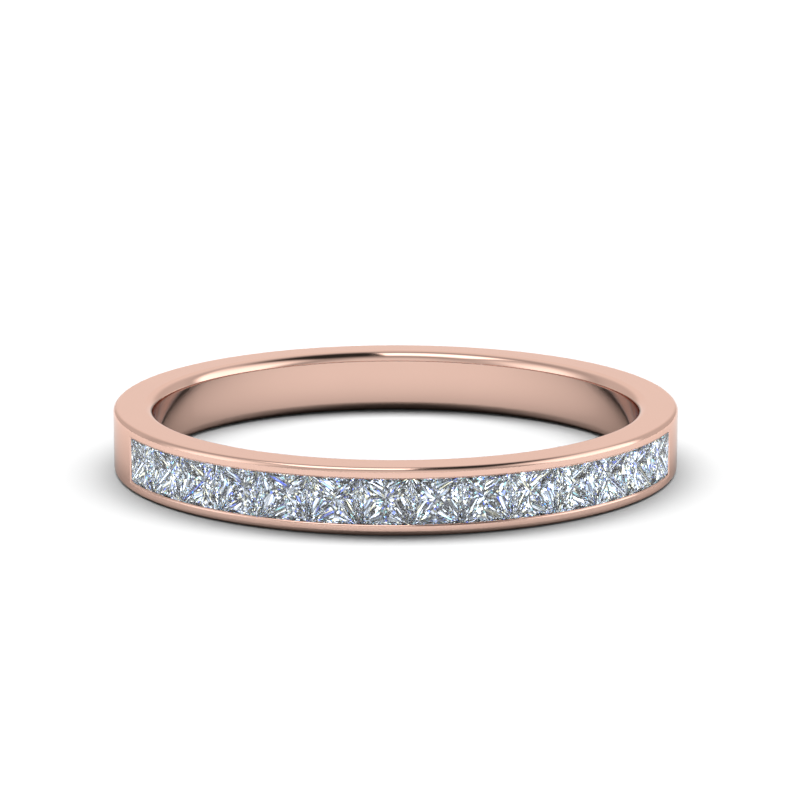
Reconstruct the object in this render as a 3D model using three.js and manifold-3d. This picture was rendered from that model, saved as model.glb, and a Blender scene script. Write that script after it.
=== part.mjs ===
// A channel-set wedding band: one cast ring of rose gold with a channel cut along the front half,
// and fourteen princess-cut diamonds held side by side in it by their girdles.
// Units are millimetres. The ring lies on its side: +Z is the finger axis, the origin is on that
// axis in the plane of the face it lies on, and the row of stones is centred on -Y.

import * as THREE from "three";
import { ConvexGeometry } from "three/addons/geometries/ConvexGeometry.js";
import { mergeVertices } from "three/addons/utils/BufferGeometryUtils.js";
import Module from "manifold-3d";

const wasm = await Module();
wasm.setup();

// ---- Driving dimensions -----------------------------------------------------------------------

const FINGER_DIAMETER = 17.35; // a US size 7 ring
const WALL = 1.46; // radial thickness of the band
const WIDTH = 2.34; // along the finger axis
const OUTER_EDGE_RADIUS = 0.19;
const INNER_EDGE_RADIUS = 0.39; // the eased edge that a finger feels

const STONES = 14;
const STONE_SIDE = 1.71;
const STONE_CORNER = 0.045; // how much of each side is lost where a sharp corner is clipped
const TABLE_SIDE = 1.36; // 80% of the stone
const CROWN_HEIGHT = 0.11;
const CROWN_BREAK = { out: 0.785, up: 0.06 }; // where the crown's facets meet, mid-side
const GIRDLE = 0.03;
const PAVILION_DEPTH = 0.97;
// The chevron facets fan out from the stone's corners to these points, mid-side.
const CHEVRON_POINTS = [
  { out: 0.8, down: 0.101 },
  { out: 0.713, down: 0.235 },
  { out: 0.625, down: 0.354 },
  { out: 0.538, down: 0.463 },
  { out: 0.45, down: 0.564 },
  { out: 0.362, down: 0.659 },
  { out: 0.275, down: 0.748 },
  { out: 0.188, down: 0.83 },
  { out: 0.1, down: 0.904 },
];
const TABLE_DEPTH = 0.04; // the tables lie this far below the band's outer surface
const STONE_GAP = 0.01; // between two neighbours' girdles

const GRIP = 0.075; // how far the channel's lips reach over each stone's girdle
const SEAT_PLAY = 0.015; // clearance between a stone and its seat
const BEARING_DEPTH = 0.2; // height of the sloped bearing under the girdle
const BEARING_IN = 0.09; // how far that bearing reaches in under the girdle
const CHANNEL_FLOOR_RADIUS = 9.12;
const WINDOW_AT_FLOOR = 0.8; // side of the square window under each stone, in the channel's floor
const WINDOW_AT_FINGER = 1.0; // and where it opens inside the ring

const RING_SEGMENTS = 96;
const OUTER_EDGE_STEPS = 4;
const INNER_EDGE_STEPS = 4;

// ---- Values that follow from them -------------------------------------------------------------

const quarterTurn = Math.PI / 2;
const innerRadius = FINGER_DIAMETER / 2;
const outerRadius = innerRadius + WALL;
const middle = WIDTH / 2;
const half = STONE_SIDE / 2;
const girdleTop = outerRadius - TABLE_DEPTH - CROWN_HEIGHT;
const girdleBottom = girdleTop - GIRDLE;
const pitch = 2 * Math.atan((half + STONE_GAP / 2) / girdleBottom);
const lastStone = ((STONES - 1) / 2) * pitch;
const stoneAngles = Array.from({ length: STONES }, (_, i) => i * pitch - lastStone);

// The channel's section on one side of the band's mid-plane, given by radius and by distance from
// that plane: a well for the pavilions, a sloped bearing under the girdles, a groove that holds
// them, and the narrower opening between the two lips.
const openingHalf = half - GRIP;
const grooveHalf = half + SEAT_PLAY;
const wellHalf = half - BEARING_IN;
const bearingFoot = girdleBottom - BEARING_DEPTH;
const grooveFloor = girdleBottom - SEAT_PLAY;
const crownSlope = CROWN_BREAK.up / (half - CROWN_BREAK.out);
const lipRise = crownSlope * GRIP + SEAT_PLAY;
const cornerRadius = Math.hypot(girdleTop, half); // a stone's corners stand out farther

const roseGold = new THREE.MeshStandardMaterial({
  color: "#e9c2b2",
  metalness: 1,
  roughness: 0.12,
});
const diamond = new THREE.MeshStandardMaterial({
  color: "#ffffff",
  metalness: 0,
  roughness: 0,
});

// ---- Solids -----------------------------------------------------------------------------------

// A closed geometry as a solid, its vertices merged by position alone.
function solid(geometry) {
  const bare = geometry.clone();
  bare.deleteAttribute("normal");
  bare.deleteAttribute("uv");
  const merged = mergeVertices(bare, 1e-5);
  return new wasm.Manifold(
    new wasm.Mesh({
      numProp: 3,
      vertProperties: merged.attributes.position.array,
      triVerts: new Uint32Array(merged.index.array),
    }),
  );
}

function geometryOf(body) {
  const { numProp, numVert, vertProperties, triVerts } = body.getMesh();
  const positions = new Float32Array(numVert * 3);
  for (let i = 0; i < numVert; i++) {
    positions.set(vertProperties.subarray(i * numProp, i * numProp + 3), i * 3);
  }
  const geometry = new THREE.BufferGeometry();
  geometry.setAttribute("position", new THREE.BufferAttribute(positions, 3));
  geometry.setIndex(new THREE.BufferAttribute(triVerts, 1));
  geometry.computeVertexNormals();
  return geometry;
}

// A closed profile of [radius, height] points, turned about Z. Angle zero is -Y.
function turned(profile) {
  const points = [...profile, profile[0]].map(([r, z]) => new THREE.Vector2(r, z));
  return new THREE.LatheGeometry(points, RING_SEGMENTS).rotateX(quarterTurn);
}

function extruded(outline, depth) {
  return new THREE.ExtrudeGeometry(new THREE.Shape(outline), { depth, bevelEnabled: false });
}

// ---- The band ---------------------------------------------------------------------------------

// A rounded corner of the band's section, as quarter number `quarter` of a circle.
function roundedCorner(r, z, radius, quarter, steps) {
  return Array.from({ length: steps + 1 }, (_, i) => {
    const angle = (quarter + i / steps) * quarterTurn;
    return [r + radius * Math.cos(angle), z + radius * Math.sin(angle)];
  });
}

function bandProfile() {
  const outer = outerRadius - OUTER_EDGE_RADIUS;
  const inner = innerRadius + INNER_EDGE_RADIUS;
  const outerTop = WIDTH - OUTER_EDGE_RADIUS;
  const innerTop = WIDTH - INNER_EDGE_RADIUS;
  return [
    ...roundedCorner(outer, OUTER_EDGE_RADIUS, OUTER_EDGE_RADIUS, 3, OUTER_EDGE_STEPS),
    ...roundedCorner(outer, outerTop, OUTER_EDGE_RADIUS, 0, OUTER_EDGE_STEPS),
    ...roundedCorner(inner, innerTop, INNER_EDGE_RADIUS, 1, INNER_EDGE_STEPS),
    ...roundedCorner(inner, INNER_EDGE_RADIUS, INNER_EDGE_RADIUS, 2, INNER_EDGE_STEPS),
  ];
}

// The channel's section turned all the way round.
function channelRing() {
  const section = [
    [CHANNEL_FLOOR_RADIUS, wellHalf],
    [bearingFoot, wellHalf],
    [grooveFloor, grooveHalf],
    [cornerRadius, grooveHalf],
    [cornerRadius + lipRise, openingHalf],
    [outerRadius + WALL, openingHalf],
  ];
  const upper = section.map(([r, out]) => [r, middle + out]);
  const lower = section.map(([r, out]) => [r, middle - out]);
  return solid(turned([...lower, ...upper.reverse()]));
}

// The wedge of space that the channel runs through. Its end faces stand square to the last
// stones, where the opening ends.
function channelReach() {
  const atEnd = (radius, side) =>
    new THREE.Vector2(openingHalf, -radius)
      .rotateAround(new THREE.Vector2(), lastStone)
      .multiply(new THREE.Vector2(side, 1));
  const near = innerRadius / 2;
  const far = outerRadius * 2;
  const outline = [
    atEnd(near, 1),
    atEnd(far, 1),
    new THREE.Vector2(0, -far * 2),
    atEnd(far, -1),
    atEnd(near, -1),
  ];
  return solid(extruded(outline, WIDTH));
}

// The seat in an end wall of the channel, for the outer side of the last stone's girdle. It is a
// little narrower than the groove that it opens into, and starts well inside the channel.
function endSeat(side) {
  const outline = [
    [0, girdleTop],
    [wellHalf, bearingFoot],
    [grooveHalf, grooveFloor],
    [grooveHalf, girdleTop],
    [openingHalf, girdleTop + lipRise],
  ].map(([along, radius]) => new THREE.Vector2(side * along, -radius));
  const width = STONE_SIDE + SEAT_PLAY;
  const cutter = extruded(outline, width).translate(0, 0, middle - width / 2);
  return solid(cutter.rotateZ(side * lastStone));
}

// A square, flared window from the channel's floor to the inside of the ring.
function stoneWindow(angle) {
  const top = CHANNEL_FLOOR_RADIUS + BEARING_DEPTH;
  const bottom = innerRadius - INNER_EDGE_RADIUS;
  const flare = (WINDOW_AT_FINGER - WINDOW_AT_FLOOR) / (CHANNEL_FLOOR_RADIUS - innerRadius);
  const cornerAt = (radius) =>
    (WINDOW_AT_FLOOR + flare * (CHANNEL_FLOOR_RADIUS - radius)) / Math.SQRT2;
  const cutter = new THREE.CylinderGeometry(cornerAt(top), cornerAt(bottom), top - bottom, 4);
  cutter.rotateY(quarterTurn / 2); // its four sides now stand square to the stone
  cutter.rotateX(2 * quarterTurn); // its top end now faces outward, towards -Y
  cutter.translate(0, -(top + bottom) / 2, middle);
  return solid(cutter.rotateZ(angle));
}

function band() {
  const channel = channelRing().intersect(channelReach());
  const cuts = [channel, endSeat(1), endSeat(-1), ...stoneAngles.map(stoneWindow)];
  const body = cuts.reduce((rest, cut) => rest.subtract(cut), solid(turned(bandProfile())));
  const mesh = new THREE.Mesh(geometryOf(body), roseGold);
  mesh.name = "band";
  return mesh;
}

// ---- The stones -------------------------------------------------------------------------------

// A princess cut: square, with a flat table and a pavilion of chevron facets. Its facets are the
// faces of the hull of its corner points. The table faces +Z and the girdle's foot is at zero.
function princessCut() {
  const clipped = half - STONE_CORNER;
  const table = TABLE_SIDE / 2;
  const oneSide = [
    [half, clipped, 0],
    [half, -clipped, 0],
    [half, clipped, GIRDLE],
    [half, -clipped, GIRDLE],
    [CROWN_BREAK.out, 0, GIRDLE + CROWN_BREAK.up],
    [table, table, GIRDLE + CROWN_HEIGHT],
    ...CHEVRON_POINTS.map(({ out, down }) => [out, 0, -down]),
  ];
  const upright = new THREE.Vector3(0, 0, 1);
  const points = [new THREE.Vector3(0, 0, -PAVILION_DEPTH)]; // the culet
  for (let side = 0; side < 4; side++) {
    for (const point of oneSide) {
      points.push(new THREE.Vector3(...point).applyAxisAngle(upright, side * quarterTurn));
    }
  }
  return new ConvexGeometry(points);
}

// A stone in its place in the row: its table turned outward, then carried round to its angle.
function placedStone(geometry, angle, number) {
  const mesh = new THREE.Mesh(geometry, diamond);
  mesh.name = `diamond_${String(number).padStart(2, "0")}`;
  mesh.rotation.x = quarterTurn;
  mesh.position.set(0, -girdleBottom, middle);
  const holder = new THREE.Group();
  holder.rotation.z = angle;
  holder.add(mesh);
  return holder;
}

// ---- The assembly -----------------------------------------------------------------------------

const ring = new THREE.Group();
ring.add(band());
const cut = princessCut();
stoneAngles.forEach((angle, i) => ring.add(placedStone(cut, angle, i + 1)));

export default ring;
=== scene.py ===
"""The looks of a channel-set wedding band: polished rose gold and fourteen princess-cut diamonds.

The band is rebuilt as one closed mesh of quads with exact normals on its round edges, and each
stone as a crisp faceted solid. Lengths are in millimetres until a mesh is made, angles in radians.
Angles round the ring start at -Y, the middle of the row of stones, and grow towards +X.
"""

import math

import bmesh
import bpy
import numpy as np
from mathutils import Matrix, Vector


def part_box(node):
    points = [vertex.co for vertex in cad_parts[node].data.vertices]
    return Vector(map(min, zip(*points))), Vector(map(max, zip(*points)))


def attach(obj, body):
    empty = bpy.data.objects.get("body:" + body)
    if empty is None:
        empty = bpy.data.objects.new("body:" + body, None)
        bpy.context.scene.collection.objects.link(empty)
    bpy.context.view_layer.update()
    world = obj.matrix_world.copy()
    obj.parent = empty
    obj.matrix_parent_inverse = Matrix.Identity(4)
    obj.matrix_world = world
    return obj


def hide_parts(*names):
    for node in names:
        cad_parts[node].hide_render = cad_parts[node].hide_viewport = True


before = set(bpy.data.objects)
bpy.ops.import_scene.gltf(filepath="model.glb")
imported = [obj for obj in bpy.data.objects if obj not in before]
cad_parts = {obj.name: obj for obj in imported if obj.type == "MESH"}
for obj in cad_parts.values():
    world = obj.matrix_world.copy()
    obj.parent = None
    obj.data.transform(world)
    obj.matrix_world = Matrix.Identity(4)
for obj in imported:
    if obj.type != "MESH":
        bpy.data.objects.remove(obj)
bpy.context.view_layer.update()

# ---- Sizes ------------------------------------------------------------------------------------

MM = 0.001  # one millimetre in the scene's metres
QUARTER = math.pi / 2

band_low, band_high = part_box("band")
OUTER_RADIUS = (band_high.x - band_low.x) / 2 / MM
WIDTH = band_high.z / MM
MIDDLE = WIDTH / 2
WALL = 1.46
INNER_RADIUS = OUTER_RADIUS - WALL
OUTER_EDGE_RADIUS = 0.19
INNER_EDGE_RADIUS = 0.39

STONES = 14
STONE_SIDE = 1.71
STONE_CORNER = 0.045
TABLE_SIDE = 1.36
CROWN_HEIGHT = 0.11
CROWN_BREAK = (0.785, 0.06)  # out from the stone's middle and up from the girdle, mid-side
GIRDLE = 0.03
PAVILION_DEPTH = 0.97
CHEVRONS = 9
CHEVRON_OUT = (0.8, 0.1)  # the first and the last chevron's point, out from the stone's axis
PAVILION_REACH = 0.85  # how far out the curve through those points starts
PAVILION_BULGE = 1.18  # that curve's power: 1 would be a straight line, 2 an ellipse
CUT_DECIMALS = 3  # facets are cut to the nearest thousandth of a millimetre
TABLE_DEPTH = 0.04  # below the band's outside
STONE_GAP = 0.01

GRIP = 0.075  # how far each lip reaches over a stone
SEAT_PLAY = 0.015  # room between a stone and its groove
BEARING_DEPTH = 0.2  # from the girdle down to the foot of the sloping bearing
BEARING_IN = 0.09  # how far the bearing reaches in under a stone
FLOOR_RADIUS = 9.12  # the channel's floor
WINDOW_AT_FLOOR = 0.8  # the opening under each stone, at the channel's floor
WINDOW_AT_FINGER = 1.0  # and where it comes out on the finger's side
LIP_ROUNDING = 0.075  # the burnished edge of the channel's opening

HALF = STONE_SIDE / 2
GIRDLE_TOP = OUTER_RADIUS - TABLE_DEPTH - CROWN_HEIGHT
GIRDLE_BOTTOM = GIRDLE_TOP - GIRDLE
PITCH = 2 * math.atan((HALF + STONE_GAP / 2) / GIRDLE_BOTTOM)
LAST_STONE = (STONES - 1) / 2 * PITCH
STONE_ANGLES = [i * PITCH - LAST_STONE for i in range(STONES)]


# ---- Meshes -----------------------------------------------------------------------------------


def outward(angle):
    """The direction away from the finger axis at an angle round the ring."""
    return Vector((math.sin(angle), -math.cos(angle), 0))


def along(angle):
    """The direction round the ring at an angle."""
    return Vector((math.cos(angle), math.sin(angle), 0))


def at(radius, angle, z):
    """The point at a distance from the finger axis, an angle round the ring and a height."""
    return outward(angle) * radius + Vector((0, 0, z))


class Shell:
    """One closed mesh made of grid patches, with its own exact normal at each face corner."""

    WELD = 1e-5  # millimetres between points taken as one

    def __init__(self):
        self.points = []
        self.index = {}
        self.faces = []
        self.normals = []

    def vertex(self, point):
        """The number of the vertex at a point."""
        key = tuple(round(c / self.WELD) for c in point)
        if key not in self.index:
            self.index[key] = len(self.points)
            self.points.append(point * MM)
        return self.index[key]

    def face(self, corners):
        """A quad from four (point, normal) corners, turned to face the way its normals do."""
        points = [point for point, _ in corners]
        faces_out = (points[2] - points[0]).cross(points[3] - points[1])
        if faces_out.dot(sum((normal for _, normal in corners), Vector())) < 0:
            corners = corners[::-1]
        self.faces.append([self.vertex(point) for point, _ in corners])
        self.normals += [normal.normalized() for _, normal in corners]

    def patch(self, rows, closed=False, skip=lambda row, column: False):
        """Quads between rows of (point, normal). skip leaves a cell open."""
        for i, (row, above) in enumerate(zip(rows, rows[1:])):
            count = len(row) if closed else len(row) - 1
            for j in range(count):
                k = (j + 1) % len(row)
                if not skip(i, j):
                    self.face([row[j], row[k], above[k], above[j]])

    def mesh(self, name):
        mesh = bpy.data.meshes.new(name)
        mesh.from_pydata(self.points, [], self.faces)
        mesh.shade_smooth()
        mesh.normals_split_custom_set(self.normals)
        mesh.validate()
        return mesh


# ---- The band ---------------------------------------------------------------------------------

WINDOW_COLUMNS = 6  # quads across each window
GAP_COLUMNS = 3  # and between two windows
PLAIN_COLUMNS = 203  # and round the back, from one end of the channel to the other
ROW_SHARES = (-1, -2 / 3, -1 / 3, 0, 1 / 3, 2 / 3, 1)  # rows up the channel's opening
OUTER_EDGE_STEPS = 8
INNER_EDGE_STEPS = 14
LIP_STEPS = 4
FLAT_STEPS = 3

OPENING = HALF - GRIP
GROOVE = HALF + SEAT_PLAY
WELL = HALF - BEARING_IN
BEARING_FOOT = GIRDLE_BOTTOM - BEARING_DEPTH
GROOVE_FLOOR = GIRDLE_BOTTOM - SEAT_PLAY
CORNER_RADIUS = math.hypot(GIRDLE_TOP, HALF)
CROWN_SLOPE = CROWN_BREAK[1] / (HALF - CROWN_BREAK[0])
LIP_RADIUS = CORNER_RADIUS + CROWN_SLOPE * GRIP + SEAT_PLAY


def end_angle(radius, reach):
    """Where the channel's end wall, a plane `reach` past the last stone's middle, meets a radius."""
    return LAST_STONE + math.asin(reach / radius)


def channel_angles(end, window_radius, window_side):
    """Column lines across the channel, with lines on both edges of each stone's window."""
    edge = math.asin(window_side / 2 / window_radius)
    lines = [-end]
    for i, middle in enumerate(STONE_ANGLES):
        lines += list(np.linspace(middle - edge, middle + edge, WINDOW_COLUMNS + 1))
        if i < STONES - 1:
            gap = np.linspace(middle + edge, middle + PITCH - edge, GAP_COLUMNS + 1)
            lines += list(gap[1:-1])
    return [float(line) for line in lines + [end]]


def in_window(column):
    """Whether a column between two channel lines lies over a stone's window."""
    return 0 < column and (column - 1) % (WINDOW_COLUMNS + GAP_COLUMNS) < WINDOW_COLUMNS


def turned(section, angles):
    """Rows for a patch: each (radius, z, outward part, upward part of the normal) turned round."""
    rows = []
    for radius, z, out, up in section:
        rows.append([(at(radius, a, z), outward(a) * out + Vector((0, 0, up))) for a in angles])
    return rows


def round_edge(radius, z, edge, quarter, steps):
    """A quarter circle of the band's section."""
    section = []
    for i in range(steps + 1):
        a = (quarter + i / steps) * QUARTER
        section.append((radius + edge * math.cos(a), z + edge * math.sin(a), math.cos(a), math.sin(a)))
    return section


def straight(start, end, steps, out, up):
    """A straight stretch of the band's section, with one normal."""
    points = np.linspace(start, end, steps + 1)
    return [(float(radius), float(z), out, up) for radius, z in points]


def slope(start, end):
    """Two channel levels and the straight wall between them, from (radius, half height, reach)."""
    down, sideways = end[0] - start[0], end[1] - start[1]
    length = math.hypot(down, sideways)
    normal = (-sideways / length, down / length)
    return [(*start, *normal), (*end, *normal)]


def channel_runs():
    """The channel's walls from the opening down, as runs of levels that shade smoothly."""
    opening = (OUTER_RADIUS - LIP_ROUNDING, OPENING, OPENING)
    lip = (LIP_RADIUS, OPENING, OPENING)
    corner = (CORNER_RADIUS, GROOVE, GROOVE)
    groove = (GROOVE_FLOOR, GROOVE, GROOVE)
    foot = (BEARING_FOOT, WELL, OPENING)
    floor = (FLOOR_RADIUS, WELL, OPENING)
    rounding = []
    for i in range(LIP_STEPS + 1):
        a = i / LIP_STEPS * QUARTER
        radius = OUTER_RADIUS - LIP_ROUNDING * (1 - math.cos(a))
        half = OPENING + LIP_ROUNDING * (1 - math.sin(a))
        rounding.append((radius, half, half, math.cos(a), -math.sin(a)))
    levels = [opening, lip, corner, groove, foot, floor]
    return [rounding] + [slope(a, b) for a, b in zip(levels, levels[1:])]


def add_channel(shell):
    """The channel's two long walls, its two end walls and its floor with the windows left open."""
    inner_lines = channel_angles(0, INNER_RADIUS, WINDOW_AT_FINGER)[1:-1]
    floor_lines = channel_angles(0, FLOOR_RADIUS, WINDOW_AT_FLOOR)[1:-1]
    window = WINDOW_AT_FLOOR / 2
    floor_rows = [-WELL, -window, -window / 2, 0, window / 2, window, WELL]

    def lines(radius, reach):
        middle = floor_lines if radius == FLOOR_RADIUS else inner_lines
        end = end_angle(radius, reach)
        return [-end, *middle, end]

    def rows(radius, half):
        if radius == FLOOR_RADIUS:
            return floor_rows
        return [half * share for share in ROW_SHARES]

    for levels in channel_runs():
        for side in (1, -1):
            long_wall, end_wall = [], []
            for radius, half, reach, out, over in levels:
                up = Vector((0, 0, side * over))
                z = MIDDLE + side * half
                long_wall.append(
                    [(at(radius, a, z), outward(a) * out + up) for a in lines(radius, reach)]
                )
                end = side * end_angle(radius, reach)
                normal = outward(end) * out + along(side * LAST_STONE) * side * over
                end_wall.append(
                    [(at(radius, end, MIDDLE + row), normal) for row in rows(radius, half)]
                )
            shell.patch(long_wall)
            shell.patch(end_wall)

    floor_section = [(FLOOR_RADIUS, MIDDLE + row, 1, 0) for row in floor_rows]
    last_row = len(floor_rows) - 2
    shell.patch(
        turned(floor_section, lines(FLOOR_RADIUS, OPENING)),
        skip=lambda row, column: 0 < row < last_row and in_window(column),
    )


def add_window(shell, angle):
    """The four walls of one stone's window, from the channel's floor to the finger's side."""
    ends = ((FLOOR_RADIUS, WINDOW_AT_FLOOR / 2), (INNER_RADIUS, WINDOW_AT_FINGER / 2))
    flare = (ends[1][1] - ends[0][1]) / (ends[0][0] - ends[1][0])
    for side in (1, -1):
        level_wall, upright_wall = [], []
        for radius, half in ends:
            edge = math.asin(half / radius)
            z = MIDDLE + side * half
            normal = outward(angle) * -flare + Vector((0, 0, -side))
            across = np.linspace(-edge, edge, WINDOW_COLUMNS + 1)
            level_wall.append([(at(radius, angle + float(a), z), normal) for a in across])
            normal = outward(angle) * -flare - along(angle) * side
            rows = [half * row for row in (-1, -0.5, 0, 0.5, 1)]
            upright_wall.append(
                [(at(radius, angle + side * edge, MIDDLE + row), normal) for row in rows]
            )
        shell.patch(level_wall)
        shell.patch(upright_wall)


def band_mesh():
    """The whole band: the turned section, broken by the channel and the windows under the stones."""
    shell = Shell()
    hole = OPENING + LIP_ROUNDING
    end = end_angle(OUTER_RADIUS, hole)
    channel = channel_angles(end, INNER_RADIUS, WINDOW_AT_FINGER)
    plain = [float(a) for a in np.linspace(end, 2 * math.pi - end, PLAIN_COLUMNS + 1)]
    whole = channel + plain[1:-1]

    outer, outer_top = OUTER_RADIUS - OUTER_EDGE_RADIUS, WIDTH - OUTER_EDGE_RADIUS
    inner, inner_top = INNER_RADIUS + INNER_EDGE_RADIUS, WIDTH - INNER_EDGE_RADIUS
    rings = [
        round_edge(outer, OUTER_EDGE_RADIUS, OUTER_EDGE_RADIUS, 3, OUTER_EDGE_STEPS),
        straight((OUTER_RADIUS, OUTER_EDGE_RADIUS), (OUTER_RADIUS, MIDDLE - hole), FLAT_STEPS, 1, 0),
        straight((OUTER_RADIUS, MIDDLE + hole), (OUTER_RADIUS, outer_top), FLAT_STEPS, 1, 0),
        round_edge(outer, outer_top, OUTER_EDGE_RADIUS, 0, OUTER_EDGE_STEPS),
        straight((outer, WIDTH), (inner, WIDTH), FLAT_STEPS, 0, 1),
        round_edge(inner, inner_top, INNER_EDGE_RADIUS, 1, INNER_EDGE_STEPS),
        round_edge(inner, INNER_EDGE_RADIUS, INNER_EDGE_RADIUS, 2, INNER_EDGE_STEPS),
        straight((inner, 0), (outer, 0), FLAT_STEPS, 0, -1),
    ]
    for section in rings:
        shell.patch(turned(section, whole), closed=True)

    beside_channel = [(OUTER_RADIUS, MIDDLE + hole * share, 1, 0) for share in ROW_SHARES]
    shell.patch(turned(beside_channel, plain))

    window = WINDOW_AT_FINGER / 2
    rows = [-window, -window / 2, 0, window / 2, window]
    heights = [INNER_EDGE_RADIUS, *(MIDDLE + row for row in rows), inner_top]
    finger_side = [(INNER_RADIUS, z, -1, 0) for z in heights]
    shell.patch(
        turned(finger_side, whole),
        closed=True,
        skip=lambda row, column: 0 < row < len(rows)
        and column < len(channel) - 1
        and in_window(column),
    )
    add_channel(shell)
    for angle in STONE_ANGLES:
        add_window(shell, angle)
    return shell.mesh("band_surface")


# ---- The stones -------------------------------------------------------------------------------

ONE_FACET = math.radians(0.5)  # faces that turn by less than this are one facet


def chevron_points():
    """Where the pavilion's facets meet, mid-side: out from the stone's axis, and down."""
    points = []
    for out in np.linspace(*CHEVRON_OUT, CHEVRONS):
        left = 1 - (out / PAVILION_REACH) ** PAVILION_BULGE
        down = PAVILION_DEPTH * left ** (1 / PAVILION_BULGE)
        points.append((round(float(out), CUT_DECIMALS), round(float(down), CUT_DECIMALS)))
    return points


def princess_cut():
    """A square stone with its table facing +Z and its girdle's foot at zero, in millimetres."""
    clipped = HALF - STONE_CORNER
    table = TABLE_SIDE / 2
    one_side = [
        (HALF, clipped, 0),
        (HALF, -clipped, 0),
        (HALF, clipped, GIRDLE),
        (HALF, -clipped, GIRDLE),
        (CROWN_BREAK[0], 0, GIRDLE + CROWN_BREAK[1]),
        (table, table, GIRDLE + CROWN_HEIGHT),
        *((out, 0, -down) for out, down in chevron_points()),
    ]
    work = bmesh.new()
    work.verts.new((0, 0, -PAVILION_DEPTH))
    for side in range(4):
        turn = Matrix.Rotation(side * QUARTER, 3, "Z")
        for point in one_side:
            work.verts.new(turn @ Vector(point))
    bmesh.ops.convex_hull(work, input=work.verts)
    bmesh.ops.dissolve_limit(work, angle_limit=ONE_FACET, verts=work.verts, edges=work.edges)
    bmesh.ops.recalc_face_normals(work, faces=work.faces)
    return work


def stone_mesh(cut, angle, name):
    """The cut stone in its seat: its table turned outward, then carried round to its angle."""
    seat = Matrix.Translation((0, -GIRDLE_BOTTOM, MIDDLE)) @ Matrix.Rotation(QUARTER, 4, "X")
    placed = cut.copy()
    placed.transform(Matrix.Scale(MM, 4) @ Matrix.Rotation(angle, 4, "Z") @ seat)
    mesh = bpy.data.meshes.new(name)
    placed.to_mesh(mesh)
    placed.free()
    return mesh


# ---- Arithmetic for node trees -----------------------------------------------------------------


class Formula:
    """A number computed in a node tree, written with the plain arithmetic signs."""

    def __init__(self, tree, socket):
        self.tree = tree
        self.socket = socket

    def apply(self, operation, *others):
        node = self.tree.nodes.new("ShaderNodeMath")
        node.operation = operation
        for entry, value in zip(node.inputs, (self, *others)):
            if isinstance(value, Formula):
                self.tree.links.new(value.socket, entry)
            else:
                entry.default_value = value
        return Formula(self.tree, node.outputs[0])

    def __add__(self, other):
        return self.apply("ADD", other)

    def __sub__(self, other):
        return self.apply("SUBTRACT", other)

    def __mul__(self, other):
        return self.apply("MULTIPLY", other)

    def __truediv__(self, other):
        return self.apply("DIVIDE", other)

    def rise(self, start, end, low=0.0, high=1.0):
        """Goes smoothly from low to high while this number goes from start to end."""
        node = self.tree.nodes.new("ShaderNodeMapRange")
        node.interpolation_type = "SMOOTHSTEP"
        self.tree.links.new(self.socket, node.inputs["Value"])
        for name, value in zip(("From Min", "From Max", "To Min", "To Max"), (start, end, low, high)):
            node.inputs[name].default_value = value
        return Formula(self.tree, node.outputs["Result"])

    def within(self, start, end, edge):
        """One between start and end and zero outside, with edges this soft."""
        return self.rise(start - edge, start + edge) * self.rise(end - edge, end + edge, 1, 0)

    def toward(self, value, share):
        """This number, moved toward another one by a share."""
        return self + (self * -1 + value) * share


def coordinates(tree, vector):
    """The three parts of a vector."""
    split = tree.nodes.new("ShaderNodeSeparateXYZ")
    tree.links.new(vector, split.inputs["Vector"])
    return [Formula(tree, split.outputs[name]) for name in "XYZ"]


def combined(tree, parts):
    """A vector from its three parts."""
    node = tree.nodes.new("ShaderNodeCombineXYZ")
    for entry, part in zip(node.inputs, parts):
        tree.links.new(part.socket, entry)
    return node.outputs["Vector"]


def multiplied(tree, first, second):
    """The product of two colours, or of a colour and a number."""
    node = tree.nodes.new("ShaderNodeVectorMath")
    node.operation = "MULTIPLY"
    tree.links.new(first, node.inputs[0])
    tree.links.new(second, node.inputs[1])
    return node.outputs["Vector"]


def noise(tree, vector, scale, detail, fourth=None):
    """Smooth random numbers at a place, or at a place with a fourth coordinate."""
    node = tree.nodes.new("ShaderNodeTexNoise")
    node.inputs["Scale"].default_value = scale
    node.inputs["Detail"].default_value = detail
    tree.links.new(vector, node.inputs["Vector"])
    if fourth:
        node.noise_dimensions = "4D"
        tree.links.new(fourth.socket, node.inputs["W"])
    return Formula(tree, node.outputs["Fac"])


def ramp(tree, value, stops, interpolation):
    """The colour at a value, from (position, colour) stops."""
    node = tree.nodes.new("ShaderNodeValToRGB")
    node.color_ramp.interpolation = interpolation
    while len(node.color_ramp.elements) < len(stops):
        node.color_ramp.elements.new(1)
    for element, (position, color) in zip(node.color_ramp.elements, stops):
        element.position = position
        element.color = (*color, 1)
    tree.links.new(value, node.inputs["Fac"])
    return node.outputs["Color"]


# ---- Materials --------------------------------------------------------------------------------

GOLD_COLOR = (0.81, 0.54, 0.445)
GOLD_EDGE_COLOR = (0.93, 0.8, 0.745, 1)
# The shift, the roughness and the haze give two levels of a noise and the value at each.
COLOR_SHIFT = (0.3, 0.7, 0.985, 1)
COLOR_CLOUDS = 350  # per metre, as are the two below
POLISH_CLOUDS = 900
HAZE_CLOUDS = 1500
POLISH_ROUGHNESS = (0, 1, 0.055, 0.115)
EDGE_WEAR = 0.05  # more roughness along the two outer edges
WORN_FROM, WORN_TO = 0.3, 0.05  # millimetres in from an outer edge, where the wear fades in
MARK_LENGTH = 7.0  # millimetres round the ring, to one millimetre across
MARKS_PER_MM = 9.0
MARK_DEPTH = 0.0001  # millimetres
DIAMOND_IOR = 2.417
DIAMOND_GLARE = (0.62, 0.62, 0.62, 1)  # the strength of the mirror images on a stone's facets
DIAMOND_HAZE = (0.45, 0.75, 0, 0.02)


def new_material(name):
    """A material with its nodes, its links and its one shader."""
    material = bpy.data.materials.new(name)
    material.use_nodes = True
    nodes = material.node_tree.nodes
    return material, nodes, material.node_tree.links, nodes["Principled BSDF"]


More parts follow.
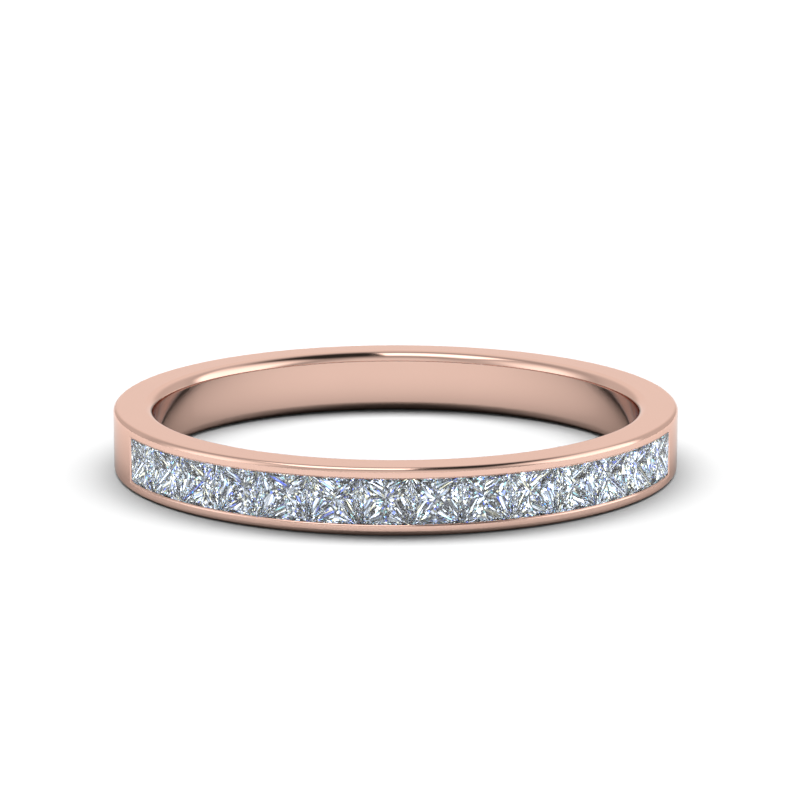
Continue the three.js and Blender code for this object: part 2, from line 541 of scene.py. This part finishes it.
def rose_gold():
    """Polished gold: a wandering polish, softer outer edges and hair-fine marks round the ring."""
    material, nodes, links, shader = new_material("polished_rose_gold")
    shader.inputs["Metallic"].default_value = 1
    shader.inputs["Specular Tint"].default_value = GOLD_EDGE_COLOR
    tree = material.node_tree
    place = nodes.new("ShaderNodeTexCoord").outputs["Object"]
    x, y, z = (part / MM for part in coordinates(tree, place))
    radius = (x * x + y * y).apply("SQRT")

    tint = noise(tree, place, COLOR_CLOUDS, 2).rise(*COLOR_SHIFT)
    color = nodes.new("ShaderNodeVectorMath")
    color.operation = "SCALE"
    color.inputs[0].default_value = GOLD_COLOR
    links.new(tint.socket, color.inputs["Scale"])
    links.new(color.outputs["Vector"], shader.inputs["Base Color"])

    polish = noise(tree, place, POLISH_CLOUDS, 3).rise(*POLISH_ROUGHNESS)
    beside = (z - MIDDLE).apply("ABSOLUTE").rise(MIDDLE - WORN_FROM, MIDDLE - WORN_TO)
    edge = beside * radius.rise(OUTER_RADIUS - WORN_FROM, OUTER_RADIUS - WORN_TO)
    links.new((polish + edge * EDGE_WEAR).socket, shader.inputs["Roughness"])

    stretch = OUTER_RADIUS / MARK_LENGTH
    drawn = combined(tree, (x / radius * stretch, y / radius * stretch, radius))
    marks = noise(tree, drawn, MARKS_PER_MM, 4, z)
    bump = nodes.new("ShaderNodeBump")
    bump.inputs["Distance"].default_value = MARK_DEPTH * MM
    links.new(marks.socket, bump.inputs["Height"])
    links.new(bump.outputs["Normal"], shader.inputs["Normal"])
    return material


def diamond():
    """Clear stone with a trace of haze where the last polish is thin."""
    material, nodes, links, shader = new_material("white_diamond")
    shader.inputs["Base Color"].default_value = (1, 1, 1, 1)
    shader.inputs["IOR"].default_value = DIAMOND_IOR
    shader.inputs["Transmission Weight"].default_value = 1
    shader.inputs["Specular Tint"].default_value = DIAMOND_GLARE
    place = nodes.new("ShaderNodeTexCoord").outputs["Object"]
    haze = noise(material.node_tree, place, HAZE_CLOUDS, 2).rise(*DIAMOND_HAZE)
    links.new(haze.socket, shader.inputs["Roughness"])
    return material


# ---- The object -------------------------------------------------------------------------------


def show(mesh, material, node):
    """Puts a mesh in the scene in place of its CAD node."""
    piece = bpy.data.objects.new(mesh.name, mesh)
    bpy.context.scene.collection.objects.link(piece)
    mesh.materials.append(material)
    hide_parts(node)
    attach(piece, "root")
    return piece


band = show(band_mesh(), rose_gold(), "band")
band.visible_transmission = False  # light inside the stones passes the metal of their seats
cut = princess_cut()
clear = diamond()
for number, angle in enumerate(STONE_ANGLES, 1):
    mesh = stone_mesh(cut, angle, f"princess_stone_{number:02d}")
    show(mesh, clear, f"diamond_{number:02d}")
cut.free()


# ---- Camera, floor and light ------------------------------------------------------------------

# The camera's place and lens come from a least-squares fit to the ring's outlines.
CAMERA_RADII = 11.3962  # its distance, in outer radii
CAMERA_AZIMUTH = math.radians(-2.885)
CAMERA_ELEVATION = math.radians(13.17)
CAMERA_PITCH = math.radians(12.588)
CAMERA_YAW = 0.0014
LENS_MM = 143.97
SENSOR_MM = 36


def add_camera():
    """The camera looks a little past the ring's middle, at the angle of the original view."""
    camera = bpy.data.objects.new("camera", bpy.data.cameras.new("camera"))
    bpy.context.scene.collection.objects.link(camera)
    level = outward(CAMERA_AZIMUTH) * math.cos(CAMERA_ELEVATION)
    away = level + Vector((0, 0, math.sin(CAMERA_ELEVATION)))
    camera.location = Vector((0, 0, MIDDLE * MM)) + away * (CAMERA_RADII * OUTER_RADIUS * MM)
    ahead = -outward(CAMERA_AZIMUTH - CAMERA_YAW) * math.cos(CAMERA_PITCH)
    look = ahead - Vector((0, 0, math.sin(CAMERA_PITCH)))
    camera.rotation_euler = look.to_track_quat("-Z", "Y").to_euler()
    camera.data.lens = LENS_MM
    camera.data.sensor_width = SENSOR_MM
    camera.data.clip_start = 0.001
    camera.data.clip_end = 10
    bpy.context.scene.camera = camera


FLOOR_HALF = 3.0  # metres
FLOOR_WHITE = 0.9
# A painted glow on the floor, seen only where a wall mirrors it a second time, and its colour.
FLOOR_PAINTED_GLOW = 0.5
FLOOR_PAINTED_GLOW_TINT = (0.48, 0.72, 0.92, 1)
# The painted shade on the floor that the polished walls mirror: its levels, and its places in
# millimetres from the finger axis.
SHADE_MIDDLE = 0.92  # the floor's level under the axis
SHADE_DARKEST = 0.57
SHADE_FOOT = 7.4  # where it is darkest
SHADE_END = 17.5  # where it is gone
SHADE_POWER = 3  # how steeply it deepens toward its foot
SHADE_ALL_ROUND = (9, 9.5, 1, 0)  # it fades out beyond the ring
SHADE_BEHIND = (-4.5, -1.5)  # except behind this Y
SECOND_IMAGE = (1.4, 1.6)  # between one mirroring and two


def floor_painted_shade(tree):
    """The floor's white, with a painted shade and glow that only the band's polished walls see.

    A wall mirrors the floor with a painted shade near the ring. Where it mirrors another part of
    the band, the floor in that second mirror image is lifted by a painted glow.
    """
    position = tree.nodes.new("ShaderNodeNewGeometry").outputs["Position"]
    x, y, _ = (part / MM for part in coordinates(tree, position))
    radius = (x * x + y * y).apply("SQRT")
    # Painted shade: the floor's white darkens toward the band, for glossy rays only.
    deepening = (radius / SHADE_FOOT).apply("POWER", SHADE_POWER)
    inside = deepening * (SHADE_DARKEST - SHADE_MIDDLE) + SHADE_MIDDLE
    level = inside.apply("MAXIMUM", radius.rise(SHADE_FOOT, SHADE_END, SHADE_DARKEST, 1))
    under = y.rise(*SHADE_BEHIND).apply("MAXIMUM", radius.rise(*SHADE_ALL_ROUND))
    path = tree.nodes.new("ShaderNodeLightPath")
    seen = under * Formula(tree, path.outputs["Is Glossy Ray"])
    base = (seen * (level - 1) + 1) * FLOOR_WHITE
    # Painted glow: the floor emits light where it is a second mirror image.
    painted_glow = Formula(tree, path.outputs["Glossy Depth"]).rise(*SECOND_IMAGE) * FLOOR_PAINTED_GLOW
    return base.socket, painted_glow.socket


def add_floor():
    """A matt white floor. Light that leaves a stone downward passes it, into the world's glints."""
    mesh = bpy.data.meshes.new("floor")
    corners = [(-1, -1, 0), (1, -1, 0), (1, 1, 0), (-1, 1, 0)]
    mesh.from_pydata([Vector(c) * FLOOR_HALF for c in corners], [], [(0, 1, 2, 3)])
    material, nodes, links, shader = new_material("white_floor")
    tree = material.node_tree
    base, painted_glow = floor_painted_shade(tree)
    # The floor's white, with the painted shade in it.
    links.new(base, shader.inputs["Base Color"])
    # The painted glow drives the floor's emission.
    links.new(painted_glow, shader.inputs["Emission Strength"])
    shader.inputs["Emission Color"].default_value = FLOOR_PAINTED_GLOW_TINT
    shader.inputs["Roughness"].default_value = 1
    shader.inputs["Specular IOR Level"].default_value = 0
    path = nodes.new("ShaderNodeLightPath")
    opening = nodes.new("ShaderNodeBsdfTransparent")
    choice = nodes.new("ShaderNodeMixShader")
    links.new(path.outputs["Is Transmission Ray"], choice.inputs["Fac"])
    links.new(shader.outputs["BSDF"], choice.inputs[1])
    links.new(opening.outputs["BSDF"], choice.inputs[2])
    links.new(choice.outputs["Shader"], nodes["Material Output"].inputs["Surface"])
    mesh.materials.append(material)
    floor = bpy.data.objects.new("floor", mesh)
    bpy.context.scene.collection.objects.link(floor)


# The lean, the spread, the depth and FLOOR_FILL come from a least-squares fit to the floor's shadow.
SOFTBOX_HEIGHT = 0.5  # metres from the ring
SOFTBOX_LEAN = math.radians(17.2)  # behind the zenith, seen from the ring
SOFTBOX_SPREAD = math.radians(46.5)  # to each side
SOFTBOX_DEPTH = math.radians(14.7)  # to front and back
SOFTBOX_WATTS = 4.05


def add_softbox():
    """A wide soft light over the ring and a little behind it. Only the floor is lit by it."""
    light = bpy.data.lights.new("softbox", "AREA")
    light.shape = "ELLIPSE"
    light.size = 2 * SOFTBOX_HEIGHT * math.tan(SOFTBOX_SPREAD)
    light.size_y = 2 * SOFTBOX_HEIGHT * math.tan(SOFTBOX_DEPTH)
    light.energy = SOFTBOX_WATTS
    softbox = bpy.data.objects.new("softbox", light)
    bpy.context.scene.collection.objects.link(softbox)
    behind = -outward(CAMERA_AZIMUTH) * math.sin(SOFTBOX_LEAN)
    softbox.location = (behind + Vector((0, 0, math.cos(SOFTBOX_LEAN)))) * SOFTBOX_HEIGHT
    softbox.rotation_euler = (-softbox.location).to_track_quat("-Z", "Y").to_euler()
    softbox.visible_camera = False
    softbox.visible_glossy = False
    softbox.visible_transmission = False


# The studio's glow, drawn on a flat map of directions: degrees from the zenith, to the right and
# to the back. Each row of numbers is where a soft edge starts and ends, then its two levels.
# Most of these numbers, down to the dark panel, come from a least-squares fit to the look of the
# band's two rounded edges.
BACK_WALL = (3.7, 49.3, 0.29, 1.0)
BACK_WALL_ASIDE = (13.7, 35.7, 1, 0.7)
FRONT_WALL = (-31.4, -71, 0, 0.61)
FRONT_WALL_ASIDE = (15.5, 88, 1, 0.61)
LEFT_LIGHT = ((-11.4, -73.2, 0, 1.39), (-64.5, -22.2), (36.7, -4.9))
RIGHT_LIGHT = ((18.5, 66.7, 0, 1.61), (-53.7, -25.6), (38, 24))
# The top light and the dark panel are given by where they start and end, and how soft that is.
TOP_LIGHT = 2.6
TOP_LIGHT_ACROSS = (-30.4, 8.1, 4.2)
TOP_LIGHT_DEPTH = (-28.2, 2.4, 15.4)
DARK_PANEL = 0.03
DARK_PANEL_LEFT = (3, 5)
DARK_PANEL_RIGHT = (26.7, 40.1, 1, 0)
DARK_PANEL_DEPTH = (-34.5, 15.2, 12.9)
ABOVE_ZERO = 0.000001  # keeps the map's middle from being a division by zero
FLOOR_FILL = 0.1  # how much of the room's glow lights the floor
ECHO_TINT = (0.85, 1.3, 1.55)  # for each mirror image after the first, against the alloy's orange
WIDE_GLINTS = 5.0  # patches across one unit of direction
FINE_GLINTS = 18.0
WIDE_LEVELS = ((0.0, 0.4), (0.5, 0.95), (1.0, 1.6))
FINE_LEVELS = ((0.0, 0.0), (0.28, 0.03), (0.45, 0.22), (0.6, 0.6), (0.8, 1.3), (1.0, 2.6))
GLINT_LIFT_RIGHT = (0.1, 0.85, 0.85, 2.1)  # brighter glints to the right, and a little to the left
GLINT_LIFT_LEFT = (-0.3, -0.9, 1, 1.2)
GLINT_TINTS = (
    (0.0, (0.86, 0.95, 1.08)),
    (0.45, (0.66, 0.82, 1.1)),
    (0.66, (1.0, 1.0, 0.72)),
    (0.86, (0.12, 0.2, 1.1)),
    (0.94, (0.45, 1.0, 1.1)),
)


def random_cells(tree, vector, scale):
    """Two random numbers for each cell of a pattern of patches."""
    cells = tree.nodes.new("ShaderNodeTexVoronoi")
    cells.inputs["Scale"].default_value = scale
    tree.links.new(vector, cells.inputs["Vector"])
    pick = tree.nodes.new("ShaderNodeSeparateColor")
    tree.links.new(cells.outputs["Color"], pick.inputs["Color"])
    return pick.outputs["Red"], pick.outputs["Green"]


def glint_pattern(tree, direction):
    """Wide and fine patches of light and dark for the stones to mirror, the fine ones tinted."""
    wide, _ = random_cells(tree, direction, WIDE_GLINTS)
    fine, hue = random_cells(tree, direction, FINE_GLINTS)
    wide = ramp(tree, wide, [(place, (level,) * 3) for place, level in WIDE_LEVELS], "LINEAR")
    fine = ramp(tree, fine, [(place, (level,) * 3) for place, level in FINE_LEVELS], "LINEAR")
    tint = ramp(tree, hue, GLINT_TINTS, "CONSTANT")
    return multiplied(tree, multiplied(tree, tint, wide), fine)


def add_world():
    """A white studio. Directions are mapped flat: degrees from the zenith, to the right and back."""
    world = bpy.data.worlds.new("studio")
    bpy.context.scene.world = world
    world.use_nodes = True
    tree = world.node_tree
    direction = tree.nodes.new("ShaderNodeTexCoord").outputs["Generated"]
    x, y, z = coordinates(tree, direction)
    ahead = -outward(CAMERA_AZIMUTH)
    from_zenith = z.apply("ARCCOSINE") * math.degrees(1)
    spread = from_zenith / (z * z * -1 + (1 + ABOVE_ZERO)).apply("SQRT")
    toward_right = x * ahead.y - y * ahead.x
    right = toward_right * spread
    back = (x * ahead.x + y * ahead.y) * spread

    aside = right.apply("ABSOLUTE")
    glow = back.rise(*BACK_WALL) * aside.rise(*BACK_WALL_ASIDE)
    glow = glow + back.rise(*FRONT_WALL) * aside.rise(*FRONT_WALL_ASIDE)
    for across, front_edge, back_edge in (LEFT_LIGHT, RIGHT_LIGHT):
        glow = glow + right.rise(*across) * back.rise(*front_edge) * back.rise(*back_edge)
    lit = right.within(*TOP_LIGHT_ACROSS) * back.within(*TOP_LIGHT_DEPTH)
    glow = glow.toward(TOP_LIGHT, lit)
    dark = right.rise(*DARK_PANEL_LEFT) * right.rise(*DARK_PANEL_RIGHT)
    glow = glow.toward(DARK_PANEL, dark * back.within(*DARK_PANEL_DEPTH))

    path = tree.nodes.new("ShaderNodeLightPath")
    diffuse = Formula(tree, path.outputs["Is Diffuse Ray"])
    glow = glow * diffuse.rise(0, 1, 1, FLOOR_FILL)
    echoes = (Formula(tree, path.outputs["Glossy Depth"]) - 1).apply("MAXIMUM", 0)
    tint = combined(tree, [(echoes * math.log(part)).apply("EXPONENT") for part in ECHO_TINT])
    room = tree.nodes["Background"]
    tree.links.new(multiplied(tree, tint, glow.socket), room.inputs["Color"])

    lift = toward_right.rise(*GLINT_LIFT_RIGHT) * toward_right.rise(*GLINT_LIFT_LEFT)
    pattern = glint_pattern(tree, direction)
    glints = tree.nodes.new("ShaderNodeBackground")
    tree.links.new(multiplied(tree, pattern, lift.socket), glints.inputs["Color"])
    choice = tree.nodes.new("ShaderNodeMixShader")
    tree.links.new(path.outputs["Is Transmission Ray"], choice.inputs["Fac"])
    tree.links.new(room.outputs["Background"], choice.inputs[1])
    tree.links.new(glints.outputs["Background"], choice.inputs[2])
    tree.links.new(choice.outputs["Shader"], tree.nodes["World Output"].inputs["Surface"])


add_camera()
add_floor()
add_softbox()
add_world()

scene = bpy.context.scene
scene.view_settings.view_transform = "Standard"
scene.cycles.max_bounces = 24
scene.cycles.transmission_bounces = 24
scene.cycles.glossy_bounces = 8
scene.cycles.diffuse_bounces = 4
scene.cycles.caustics_reflective = False
scene.cycles.caustics_refractive = False
